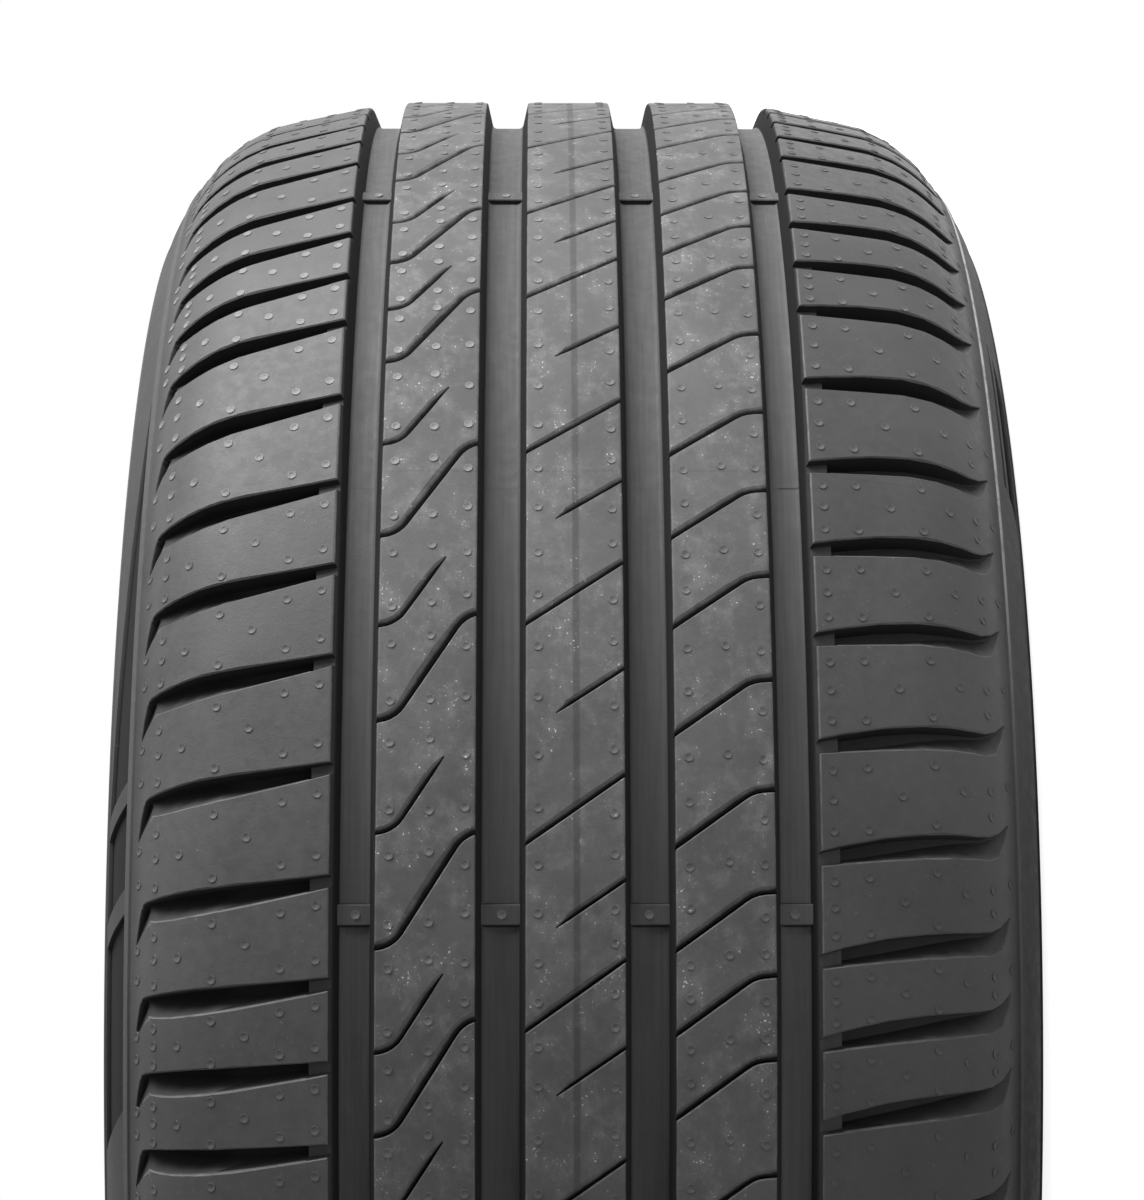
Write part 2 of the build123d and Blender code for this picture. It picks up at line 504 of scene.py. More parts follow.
class Repeater:
    """The Geometry Nodes trees that repeat a shape round the tyre."""

    inputs: dict[str, str] = {
        "Points": "NodeSocketGeometry",
        "Shape": "NodeSocketObject",
        "Size": "NodeSocketFloat",
        "Finish": "NodeSocketMaterial",
    }

    def __init__(self) -> None:
        """Builds the two trees."""
        self.ring_tree = self.build("shape round the axis", self.turned_instances)
        self.field_tree = self.build("shape on the skin", self.facing_instances)

    def build(self, name: str, placing: Placing) -> bpy.types.NodeTree:
        """Builds a tree that puts a shape on points and makes the result a real mesh.

        Args:
            name: The tree's name.
            placing: The method that turns each instance.

        Returns:
            The tree.
        """
        tree = bpy.data.node_groups.new(name, "GeometryNodeTree")
        for socket, kind in self.inputs.items():
            tree.interface.new_socket(socket, in_out="INPUT", socket_type=kind)
        tree.interface.new_socket("Mesh", in_out="OUTPUT", socket_type="NodeSocketGeometry")
        start = tree.nodes.new("NodeGroupInput")
        shape = tree.nodes.new("GeometryNodeObjectInfo")
        copies = tree.nodes.new("GeometryNodeInstanceOnPoints")
        real = tree.nodes.new("GeometryNodeRealizeInstances")
        dressed = tree.nodes.new("GeometryNodeSetMaterial")
        end = tree.nodes.new("NodeGroupOutput")
        for source, target in (
            (start.outputs["Shape"], shape.inputs["Object"]),
            (start.outputs["Points"], copies.inputs["Points"]),
            (shape.outputs["Geometry"], copies.inputs["Instance"]),
            (start.outputs["Size"], copies.inputs["Scale"]),
            (copies.outputs["Instances"], real.inputs["Geometry"]),
            (real.outputs["Geometry"], dressed.inputs["Geometry"]),
            (start.outputs["Finish"], dressed.inputs["Material"]),
            (dressed.outputs["Geometry"], end.inputs["Mesh"]),
        ):
            tree.links.new(source, target)
        placing(tree, copies)
        return tree

    @staticmethod
    def point_value(tree: bpy.types.NodeTree, name: str, kind: str) -> bpy.types.NodeSocket:
        """Reads a value that each point carries.

        Args:
            tree: The tree to read it in.
            name: The value's name.
            kind: The value's data type.

        Returns:
            The socket that gives the value.
        """
        value = tree.nodes.new("GeometryNodeInputNamedAttribute")
        value.data_type = kind
        value.inputs["Name"].default_value = name
        return value.outputs["Attribute"]

    def turned_instances(self, tree: bpy.types.NodeTree, copies: bpy.types.Node) -> None:
        """Turns each copy about the axis by its point's own angle.

        Args:
            tree: The tree.
            copies: The node that makes the copies.
        """
        about = tree.nodes.new("ShaderNodeCombineXYZ")
        tree.links.new(self.point_value(tree, "turn", "FLOAT"), about.inputs["Z"])
        tree.links.new(about.outputs["Vector"], copies.inputs["Rotation"])

    def facing_instances(self, tree: bpy.types.NodeTree, copies: bpy.types.Node) -> None:
        """Stands each copy up on the way that its point faces.

        Args:
            tree: The tree.
            copies: The node that makes the copies.
        """
        aligned = tree.nodes.new("FunctionNodeAlignRotationToVector")
        aligned.axis = "Z"
        tree.links.new(self.point_value(tree, "facing", "FLOAT_VECTOR"), aligned.inputs["Vector"])
        tree.links.new(aligned.outputs["Rotation"], copies.inputs["Rotation"])

    @staticmethod
    def run(
        tree: bpy.types.NodeTree,
        points: bpy.types.Object,
        shape: bpy.types.Object,
        finish: bpy.types.Material,
    ) -> bpy.types.Object:
        """Runs a tree on points, and leaves a plain mesh.

        Args:
            tree: The tree to run.
            points: The object whose points carry the copies; it becomes the result.
            shape: The shape to repeat, which is removed afterwards.
            finish: The material of the result.

        Returns:
            The result.
        """
        values = {"Shape": shape, "Size": 1.0, "Finish": finish}
        modifier = points.modifiers.new("repeat", "NODES")
        modifier.node_group = tree
        for socket in tree.interface.items_tree:
            if socket.in_out == "INPUT" and socket.name in values:
                modifier[socket.identifier] = values[socket.name]
        settle(points)
        drop(shape)
        return points

    def round_axis(
        self, name: str, shape: bpy.types.Object, turns: Sequence[float], finish: bpy.types.Material
    ) -> bpy.types.Object:
        """Repeats a shape round the axis.

        Args:
            name: The name of the result.
            shape: The shape, in place for a turn of zero.
            turns: The angles, in radians.
            finish: The material of the result.

        Returns:
            One mesh object with every copy.
        """
        points = mesh_object(name, [(0, 0, 0)] * len(turns), [])
        write_values(points.data, "turn", np.array(turns))
        return self.run(self.ring_tree, points, shape, finish)

    def on_skin(
        self,
        name: str,
        shape: bpy.types.Object,
        places: Sequence[Point3],
        ways: Sequence[Point3],
        finish: bpy.types.Material,
    ) -> bpy.types.Object:
        """Repeats a shape over the skin.

        Args:
            name: The name of the result.
            shape: The shape, standing up along Z.
            places: Where the copies go, in metres.
            ways: The way that each copy faces.
            finish: The material of the result.

        Returns:
            One mesh object with every copy.
        """
        points = mesh_object(name, places, [])
        write_values(points.data, "facing", np.array(ways))
        return self.run(self.field_tree, points, shape, finish)


class SipeEnd(Enum):
    """The end of a sipe that stays inside its rib."""

    NONE = 0
    FIRST = 1
    LAST = 2


@dataclass(frozen=True)
class SlotStation:
    """One cross-section of a shoulder slot: its place across, its two edges, its depth and its ramp."""

    across: float
    upper: float
    lower: float
    depth: float
    ramp: float


@dataclass(frozen=True)
class SipePath:
    """The line of a sipe across its rib, from the rib's upper edge down, with corners as (along, across).

    An open end is carried on into its groove along a slope. A blind end comes to a point inside the rib.
    """

    corners: tuple[Corner, ...]
    bevel: float
    first_slope: float = 0.0
    last_slope: float = 0.0
    blind: SipeEnd = SipeEnd.NONE


@dataclass
class TreadCuts:
    """The slots and sipes of the tread, as cutters for one pitch each."""

    skin: Skin
    pitches: PitchOrder
    repeater: Repeater
    rubber: bpy.types.Material
    clear: float = 3.0

    # Section of the sipes, and the shallow ties at their open ends
    sipe_half_width: float = 0.32
    sipe_chamfer: float = 0.3
    sipe_depth: float = 6.5
    sipe_foot_share: float = 0.8
    sipe_reach: float = 4.0
    sipe_arc_step: float = 14.0
    tie_length: float = 1.8
    tie_step: float = 0.7
    tie_depth: float = 2.0
    bevel_slope: float = 0.53
    bevel_steps: tuple[Point2, ...] = ((0.45, 0.44), (0.0, 1.0))
    bevel_lift: float = 0.5
    point_share: float = 0.25

    # Section of the slots, and their places along the pitch
    slot_chamfer: float = 0.4
    chamfer_share: float = 0.2
    slot_lip: float = 0.7
    lip_share: float = 0.12
    slot_wall_lean: float = 0.4
    lean_share: float = 0.3
    upper_slot_along: float = 20.8
    lower_slot_along: float = 28.5

    # Slot of the upper shoulder, which falls away from its groove
    upper_slot: tuple[SlotStation, ...] = (
        SlotStation(67.0, 2.0, -2.2, 2.6, 0.5),
        SlotStation(72.4, 1.5, -2.7, 2.6, 0.6),
        SlotStation(78.4, 0.9, -4.0, 2.6, 0.8),
        SlotStation(79.2, 0.8, -4.2, 6.9, 1.4),
        SlotStation(92.0, -0.3, -6.7, 6.9, 2.4),
        SlotStation(106.0, -1.6, -9.2, 6.6, 4.3),
        SlotStation(114.0, -2.3, -10.4, 6.2, 5.4),
        SlotStation(120.0, -3.2, -11.2, 5.0, 6.1),
        SlotStation(125.0, -4.1, -11.4, 3.6, 5.9),
        SlotStation(128.0, -4.9, -10.8, 2.2, 5.2),
        SlotStation(129.0, -5.6, -10.0, 1.4, 3.8),
    )

    # Tail of the upper slot, which tapers down along the shoulder's edge
    upper_tail: tuple[SlotStation, ...] = (
        SlotStation(126.0, -6.4, -11.6, 0.5, 3.6),
        SlotStation(127.4, -5.6, -12.8, 1.5, 5.4),
        SlotStation(128.7, -5.6, -14.2, 2.5, 6.4),
        SlotStation(129.5, -7.2, -15.8, 2.5, 6.2),
        SlotStation(130.3, -11.8, -17.4, 1.6, 4.0),
        SlotStation(131.0, -17.4, -18.6, 0.3, 0.2),
    )

    # Slot of the lower shoulder, which bends upwards from its groove
    lower_slot: tuple[SlotStation, ...] = (
        SlotStation(67.0, -0.6, -4.5, 2.6, 0.5),
        SlotStation(72.4, 0.7, -4.1, 2.6, 0.6),
        SlotStation(78.4, 2.3, -3.4, 2.6, 0.8),
        SlotStation(79.2, 2.5, -3.3, 6.9, 1.4),
        SlotStation(92.0, 5.2, -2.0, 6.9, 2.4),
        SlotStation(104.0, 6.6, -0.9, 6.6, 3.6),
        SlotStation(113.0, 7.2, -0.3, 6.2, 4.6),
        SlotStation(119.5, 7.4, 0.0, 5.0, 5.4),
        SlotStation(124.2, 7.9, 0.2, 3.8, 6.0),
        SlotStation(127.4, 9.6, 2.0, 2.5, 6.0),
        SlotStation(129.4, 12.0, 7.2, 1.2, 3.8),
        SlotStation(130.4, 13.2, 12.0, 0.3, 0.8),
    )

    # Sipe that crosses the upper rib in an S, and the hooked one that ends inside the rib
    long_upper_sipe: SipePath = SipePath(
        (Corner(-0.4, 58.6), Corner(0.9, 53.2, 10.0), Corner(33.6, 32.6, 10.0), Corner(35.1, 29.4)),
        bevel=2.1,
    )
    short_upper_sipe: SipePath = SipePath(
        (Corner(-0.4, 58.6), Corner(0.9, 53.2, 10.0), Corner(17.0, 42.8), Corner(23.4, 38.6)),
        bevel=1.7,
        blind=SipeEnd.LAST,
    )

    # Sipe that crosses the middle rib, and the one that ends inside the rib
    long_middle_sipe: SipePath = SipePath(
        (Corner(31.0, 14.5), Corner(51.5, -14.6)),
        bevel=1.6,
        first_slope=20.5 / 29.1,
        last_slope=20.5 / 29.1,
    )
    short_middle_sipe: SipePath = SipePath(
        (Corner(36.7, 5.6), Corner(39.5, 1.6), Corner(50.5, -14.6)),
        bevel=1.4,
        last_slope=13.2 / 19.4,
        blind=SipeEnd.FIRST,
    )

    # Sipe that crosses the lower rib and bends near the rib's outer edge
    lower_sipe: SipePath = SipePath(
        (Corner(30.0, -29.8), Corner(46.4, -52.6, 10.0), Corner(47.2, -58.7)),
        bevel=1.9,
        first_slope=16.1 / 22.2,
    )

    def slot(self, name: str, side: Side, stations: Sequence[SlotStation]) -> bpy.types.Object:
        """Builds a shoulder slot with a steep upper wall and a ramp on its lower side.

        Args:
            name: The cutter's name.
            side: The shoulder that it is on.
            stations: Its cross-sections, from the groove outwards.

        Returns:
            The cutter, at angle 0.
        """
        rings = []
        for station in stations:
            chamfer = min(self.slot_chamfer, self.chamfer_share * station.depth)
            lip = min(self.slot_lip, self.lip_share * station.depth)
            foot = station.lower + lip + station.ramp
            lean = min(self.slot_wall_lean, self.lean_share * (station.upper - foot))
            corners = [
                (station.upper + chamfer + self.clear, self.clear),
                (station.upper, -chamfer),
                (station.upper - lean, -station.depth),
                (foot, -station.depth),
                (station.lower + lip, -lip),
                (station.lower - self.clear, self.clear),
            ]
            across = side.value * station.across
            rings.append([self.skin.space(along, across, height) for along, height in corners])
        return mesh_object(name, *bridge_rings(rings, True))

    def sipe(self, name: str, line: SipePath) -> bpy.types.Object:
        """Builds a sipe along its line: a thin slit with a wide, round bevel on its upper side.

        Args:
            name: The cutter's name.
            line: The sipe's line.

        Returns:
            The cutter, at angle 0.
        """
        rounded = round_path(self.carried_on(line), False, self.sipe_arc_step)
        path, depths = self.tied(rounded, line.blind)
        half, chamfer, clear = self.sipe_half_width, self.sipe_chamfer, self.clear / 2
        foot = self.sipe_foot_share * half
        first_share, first_depth = self.bevel_steps[0]
        bevel_depth = self.bevel_slope * line.bevel
        outer = 1 + (1 - first_share) / first_depth * self.bevel_lift / bevel_depth
        bevelled = [(half + line.bevel * share, -bevel_depth * depth) for share, depth in self.bevel_steps]
        ends = {SipeEnd.FIRST: 0, SipeEnd.LAST: len(path) - 1}
        rings = []
        for index, (point, depth) in enumerate(zip(path, depths)):
            section = [
                (half + line.bevel * outer, self.bevel_lift),
                *bevelled,
                (foot, -depth),
                (-foot, -depth),
                (-half, -chamfer),
                (-half - chamfer - clear, clear),
            ]
            way_in = (point - path[max(index - 1, 0)]).normalized()
            way_out = (path[min(index + 1, len(path) - 1)] - point).normalized()
            way = (way_in + way_out).normalized()
            side_way = Vector((-way.y, way.x))
            narrow = self.point_share if ends.get(line.blind) == index else 1.0
            ring = []
            for offset, height in section:
                place = point + side_way * offset * narrow
                ring.append(self.skin.space(place.x, place.y, height))
            rings.append(ring)
        return mesh_object(name, *bridge_rings(rings, True))

    def tied(self, path: Sequence[Point2], blind: SipeEnd) -> tuple[list[Vector], list[float]]:
        """Gives a sipe's path a shallow stretch wherever it opens into a groove.

        Args:
            path: The points of the path.
            blind: The end that stays inside the rib.

        Returns:
            The points with the ends of the shallow stretches added, and the depth at each.
        """
        line = np.array(path)
        reach = np.concatenate([[0], np.cumsum(np.hypot(*np.diff(line, axis=0).T))])
        tie = self.sipe_reach + self.tie_length
        first, last = -tie, reach[-1] + tie
        added = []
        if blind is not SipeEnd.FIRST:
            first = tie + self.tie_step / 2
            added += [tie, tie + self.tie_step]
        if blind is not SipeEnd.LAST:
            last = reach[-1] - tie - self.tie_step / 2
            added += [reach[-1] - tie - self.tie_step, reach[-1] - tie]
        places = np.unique(np.concatenate([reach, added]))
        along, over = (np.interp(places, reach, column) for column in line.T)
        points = [Vector(pair) for pair in zip(along, over)]
        depths = [self.sipe_depth if first < place < last else self.tie_depth for place in places]
        return points, depths

    def carried_on(self, line: SipePath) -> list[Corner]:
        """Carries the open ends of a sipe on into the grooves.

        Args:
            line: The sipe's line.

        Returns:
            The corners of the longer line.
        """
        corners = list(line.corners)
        reach = self.sipe_reach
        if line.blind is not SipeEnd.FIRST:
            start = corners[0]
            corners[0] = Corner(start.first - line.first_slope * reach, start.second + reach)
        if line.blind is not SipeEnd.LAST:
            end = corners[-1]
            corners[-1] = Corner(end.first + line.last_slope * reach, end.second - reach)
        return corners

    def all_cutters(self) -> list[bpy.types.Object]:
        """Repeats every cutter round the tread.

        Returns:
            The cutters, in groups that don't touch each other.
        """
        starts = self.pitches.starts()
        radius = self.skin.size.tread_radius
        short_ones, long_ones = starts[0::2], starts[1::2]
        placed = [
            (self.slot("upper_slot", Side.UPPER, self.upper_slot), starts, self.upper_slot_along),
            (self.slot("lower_slot", Side.LOWER, self.lower_slot), starts, self.lower_slot_along),
            (self.sipe("long_upper_sipe", self.long_upper_sipe), long_ones, 0.0),
            (self.sipe("short_upper_sipe", self.short_upper_sipe), short_ones, 0.0),
            (self.sipe("long_middle_sipe", self.long_middle_sipe), long_ones, 0.0),
            (self.sipe("short_middle_sipe", self.short_middle_sipe), short_ones, 0.0),
            (self.sipe("lower_sipe", self.lower_sipe), starts, 0.0),
            (self.slot("upper_tail", Side.UPPER, self.upper_tail), starts, self.upper_slot_along),
        ]
        cutters = []
        for shape, angles, along in placed:
            turns = [angle + along / radius for angle in angles]
            cutters.append(self.repeater.round_axis(shape.name + "s", shape, turns, self.rubber))
        return cutters


@dataclass(frozen=True)
class PanelStation:
    """One cross-section of a sidewall panel: its angle at the top, both edges, and the slant to its foot."""

    angle: float
    top: float
    foot: float
    slant: float


@dataclass
class SidewallPanels:
    """The recessed panels of the sidewalls, which leave slanted bars between them."""

    skin: Skin
    repeater: Repeater
    rubber: bpy.types.Material
    groups: int = 4
    recess: float = 1.4
    clear: float = 1.5
    wall: float = 0.5
    wall_share: float = 0.3
    turn_step: float = 2.5
    floor_points: int = 5

    # One group on the upper sidewall: a long wedge, a short panel and one with a slanted end
    upper_panels: tuple[tuple[PanelStation, ...], ...] = (
        (
            PanelStation(-45.0, 294.4, 293.8, 0.0),
            PanelStation(-53.0, 294.4, 290.7, 0.0),
            PanelStation(-63.0, 294.4, 286.2, -0.8),
            PanelStation(-72.6, 294.4, 280.8, -2.0),
        ),
        (PanelStation(-73.9, 294.4, 280.8, -2.0), PanelStation(-79.0, 294.4, 280.8, -2.1)),
        (PanelStation(-80.5, 294.4, 280.8, -2.1), PanelStation(-91.9, 294.4, 280.8, -3.2)),
    )

    # The two strips of one panel on the lower sidewall, with a thin ridge between them
    lower_panels: tuple[tuple[PanelStation, ...], ...] = (
        (
            PanelStation(-38.6, 291.4, 290.8, 0.0),
            PanelStation(-41.0, 291.4, 289.4, 0.0),
            PanelStation(-52.0, 291.4, 289.4, -0.4),
        ),
        (
            PanelStation(-39.6, 288.6, 288.0, 0.0),
            PanelStation(-43.0, 288.6, 281.6, 0.0),
            PanelStation(-52.4, 288.6, 281.6, -2.0),
        ),
    )

    def cutter(self, name: str, side: Side, stations: Sequence[PanelStation]) -> bpy.types.Object:
        """Builds the cutter of one panel.

        Args:
            name: The cutter's name.
            side: The sidewall that it is on.
            stations: Its main cross-sections, in order round the tyre.

        Returns:
            The cutter, in its place in the first group.
        """
        rings = []
        for here, there in zip(stations, stations[1:]):
            count = ceil(abs(there.angle - here.angle) / self.turn_step)
            last = 1 if there is stations[-1] else 0
            for index in range(count + last):
                rings.append(self.ring(side, here, there, index / count))
        return mesh_object(name, *bridge_rings(rings, True))

    def ring(self, side: Side, here: PanelStation, there: PanelStation, share: float) -> list[Point3]:
        """The cutter's section between two stations.

        Args:
            side: The sidewall.
            here: The station before it.
            there: The station after it.
            share: How far along it lies between them.

        Returns:
            The section's points, in metres.
        """
        before = np.array([here.angle, here.top, here.foot, here.slant])
        after = np.array([there.angle, there.top, there.foot, there.slant])
        angle, top, foot, slant = before + (after - before) * share
        wall = min(self.wall, self.wall_share * (top - foot))
        floor = np.linspace(top - wall, foot + wall, self.floor_points)
        places = [(top, self.clear), *((radius, -self.recess) for radius in floor), (foot, self.clear)]
        points = []
        for radius, height in places:
            corner = self.skin.lifted(radius, height)
            turn = radians(angle + slant * (top - radius) / (top - foot))
            far = corner.second * MM
            points.append((far * cos(turn), far * sin(turn), side.value * corner.first * MM))
        return points

    def cutters(
        self, name: str, side: Side, layouts: Sequence[Sequence[PanelStation]]
    ) -> list[bpy.types.Object]:
        """Builds the cutters of one group of panels, numbered from the first."""
        return [self.cutter(f"{name}_{index}", side, layout) for index, layout in enumerate(layouts)]

    def all_cutters(self) -> list[bpy.types.Object]:
        """Repeats every panel's cutter round the sidewalls.

        Returns:
            The cutters, one object for each panel of a group.
        """
        turns = [2 * pi * index / self.groups for index in range(self.groups)]
        shapes = [
            *self.cutters("upper_panel", Side.UPPER, self.upper_panels),
            *self.cutters("lower_panel", Side.LOWER, self.lower_panels),
        ]
        return [self.repeater.round_axis(shape.name + "s", shape, turns, self.rubber) for shape in shapes]


@dataclass
class TyreBody:
    """The moulded body of the tyre: tread, shoulders, sidewalls, beads and liner in one mesh."""

    skin: Skin
    cuts: TreadCuts
    panels: SidewallPanels
    rubber: bpy.types.Material
    crown_thickness: float = 18.6
    heel_rounding: float = 6.0
    sharp_angle: float = 19.0

    # Radii of the sidewall's section, from the flank to the rim guard, and the heights of its two low ribs
    flank_radii: tuple[float, ...] = (299.6, 297.3)
    rib_radii: tuple[float, ...] = (296.9, 296.6, 295.0)
    side_radii: tuple[float, ...] = (294.7, 291.6, 289.0, 286.4, 283.6, 280.4)
    foot_rib_radii: tuple[float, ...] = (280.0, 279.0)
    foot_radii: tuple[float, ...] = (278.6, 274.5, 271.5)
    rib_height: float = 0.7
    foot_rib_height: float = 0.5

    # Corners of the rim guard, the bead and the liner, each group measured from a place of its own
    guard_radius: float = 258.0
    guard_corners: tuple[Corner, ...] = (
        Corner(-0.3, 9.5, 6.0),
        Corner(-1.9, 5.0, 3.0),
        Corner(-0.4, 2.5, 1.6),
        Corner(-0.4, -1.5, 2.0),
    )
    heel_corners: tuple[Corner, ...] = (
        Corner(5.2, 15.4, 1.2),
        Corner(4.2, 15.2, 0.5),
        Corner(3.4, 13.2, 0.5),
        Corner(0.4, 9.4, 4.0),
    )
    toe_corners: tuple[Corner, ...] = (Corner(0.0, 0.0, 1.2), Corner(-2.0, 3.0, 1.2))
    liner_corners: tuple[Corner, ...] = (
        Corner(-16.5, 26.0, 12.0),
        Corner(-11.6, 40.0, 18.0),
        Corner(-15.0, 55.0, 18.0),
    )
    crown_corner: Corner = Corner(-37.0, 0.0, 24.0)

    def groove(self, across: float, width: float, inner: float, outer: float, lean: float) -> list[Corner]:
        """The section of a main groove.

        Args:
            across: The groove's middle.
            width: Its width at the tread.
            inner: The radius of its inner edge.
            outer: The radius of its outer edge.
            lean: How much further the outer wall leans into the groove than the inner one.

        Returns:
            Its corners, from the inner edge to the outer one.
        """
        size = self.skin.size
        floor_half = width / 2 - size.groove_depth * tan(radians(size.groove_wall_slope))
        floor = inner - size.groove_depth
        return [
            Corner(across - width / 2, inner, size.groove_edge_rounding),
            Corner(across - floor_half, floor, size.groove_floor_rounding),
            Corner(across + floor_half - lean, floor, size.groove_floor_rounding),
            Corner(across + width / 2, outer, size.groove_edge_rounding),
        ]

    def sidewall(self) -> list[Corner]:
        """The outer section of one sidewall, from the flank to the rim guard, with its two low ribs.

        Returns:
            Its corners, from the flank inwards.
        """
        stretches = (
            (self.flank_radii, 0.0),
            (self.rib_radii, self.rib_height),
            (self.side_radii, 0.0),
            (self.foot_rib_radii, self.foot_rib_height),
            (self.foot_radii, 0.0),
        )
        return [self.skin.lifted(radius, height) for radii, height in stretches for radius in radii]

    def bead(self) -> list[Corner]:
        """The section from the rim guard round the bead to the liner.

        Returns:
            Its corners, in order.
        """
        size = self.skin.size
        half, seat = size.half_width, size.seat_radius
        heel = half - size.bead_inset
        toe = heel - self.heel_rounding - size.seat_length
        groups = (
            (half, self.guard_radius, self.guard_corners),
            (heel, seat, (*self.heel_corners, Corner(0.0, 0.0, self.heel_rounding))),
            (toe, seat, self.toe_corners),
            (half, seat, self.liner_corners),
            (half, size.tread_radius - self.crown_thickness, (self.crown_corner,)),
        )
        return [
            Corner(across + corner.first, radius + corner.second, corner.rounding)
            for across, radius, corners in groups
            for corner in corners
        ]

    def outline(self) -> list[Point2]:
        """The closed section of the whole tyre.

        Returns:
            Its points, as place across and radius.
        """
        size = self.skin.size
        crown = size.tread_radius
        _, radius = size.shoulder_rib
        upper = [
            *self.groove(size.inner_groove, size.inner_groove_width, crown, crown, 0.0),
            *self.groove(size.outer_groove, size.outer_groove_width, crown, radius, size.outer_wall_lean),
            Corner(size.shoulder_corner, size.shoulder_corner_radius, size.shoulder_rounding),
            *self.sidewall(),
            *self.bead(),
        ]
        lower = [Corner(-corner.first, corner.second, corner.rounding) for corner in upper]
        return round_path(upper + lower[::-1], True, size.arc_step)

    def revolved(self) -> bpy.types.Object:
        """Carries the section round the axis.

        Returns:
            The body before its cuts.
        """
        outline = np.array(self.outline())
        count = self.skin.size.segments
        rings = []
        for index in range(count):
            angle = 2 * pi * index / count
            radius = outline[:, 1] * MM
            ring = np.stack([radius * cos(angle), radius * sin(angle), outline[:, 0] * MM], axis=1)
            rings.append([tuple(point) for point in ring.tolist()])
        return mesh_object("tyre_body", *bridge_rings(rings, False))

    def build(self) -> bpy.types.Object:
        """Builds the body, cuts the tread and dresses it.

        Returns:
            The finished piece.
        """
        body = self.revolved()
        body.data.materials.append(self.rubber)
        for cutter in self.cuts.all_cutters() + self.panels.all_cutters():
            cut = body.modifiers.new(cutter.name, "BOOLEAN")
            cut.operation = "DIFFERENCE"
            cut.solver = "MANIFOLD"
            cut.object = cutter
            settle(body)
            drop(cutter)
        self.dress(body)
        return body

    def dress(self, body: bpy.types.Object) -> None:
        """Smooths the body and writes the depth, panel and rib values that its finish reads.

        Args:
            body: The body after its cuts.
        """
        mesh = body.data
        shade_smooth(mesh, self.sharp_angle)
        places = read_places(mesh)
        write_values(mesh, "depth", self.skin.depth_under(places))
        write_values(mesh, "panel", self.skin.recessed(places, self.panels.recess))
        write_values(mesh, "rib", self.skin.recessed(places, -self.rib_height))


